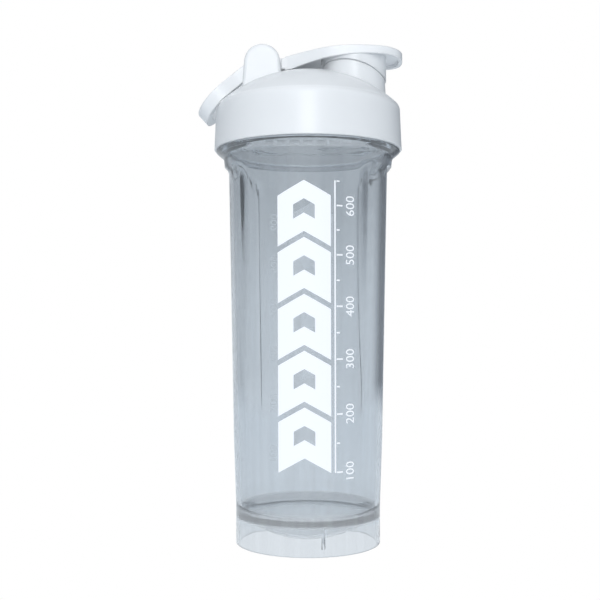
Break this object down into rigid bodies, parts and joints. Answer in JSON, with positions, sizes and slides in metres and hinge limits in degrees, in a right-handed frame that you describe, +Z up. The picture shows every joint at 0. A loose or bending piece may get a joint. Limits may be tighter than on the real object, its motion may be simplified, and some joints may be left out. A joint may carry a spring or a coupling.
{
  "type": "protein shaker bottle",
  "caption": "Clear tapered shaker bottle with a white screw lid, a flip cap over the spout and a carry loop on the same hinge.",
  "frame": {"origin": "centre of the cup's foot, on the floor", "axes": "+Z up along the bottle's axis, +X toward the spout, -X toward the hinge posts and the carry loop"},
  "size_m": [0.1022, 0.0938, 0.2448],
  "materials": {
    "clear_plastic": "clear, polished",
    "white_plastic": "satin gloss",
    "silicone": "matte translucent white"
  },
  "bodies": {
    "cup": {"cup": "clear_plastic"},
    "lid_gasket": {"lid_gasket": "silicone"},
    "lid": {"lid": "white_plastic", "mixing_grid": "white_plastic"},
    "flip_cap": {"flip_cap": "white_plastic", "spout_seal": "silicone"},
    "carry_loop": {"carry_loop": "white_plastic"}
  },
  "joints": [
    {"name": "lid_rise", "type": "slide", "parent": "cup", "child": "lid_gasket", "axis": [0, 0, 1], "range_m": [0, 0.00625]},
    {"name": "lid_turn", "type": "hinge", "parent": "lid_gasket", "child": "lid", "pos_m": [0, 0, 0.205], "axis": [0, 0, 1], "range_deg": [0, 450]},
    {"name": "flip_cap_hinge", "type": "hinge", "parent": "lid", "child": "flip_cap", "pos_m": [-0.0224, 0, 0.236], "axis": [0, -1, 0], "range_deg": [0, 100]},
    {"name": "carry_loop_hinge", "type": "hinge", "parent": "lid", "child": "carry_loop", "pos_m": [-0.0224, 0, 0.236], "axis": [0, 1, 0], "range_deg": [0, 70]}
  ],
  "couplings": [
    {"joint": "lid_rise", "follows": "lid_turn", "m_per_rad": 0.00079577}
  ]
}
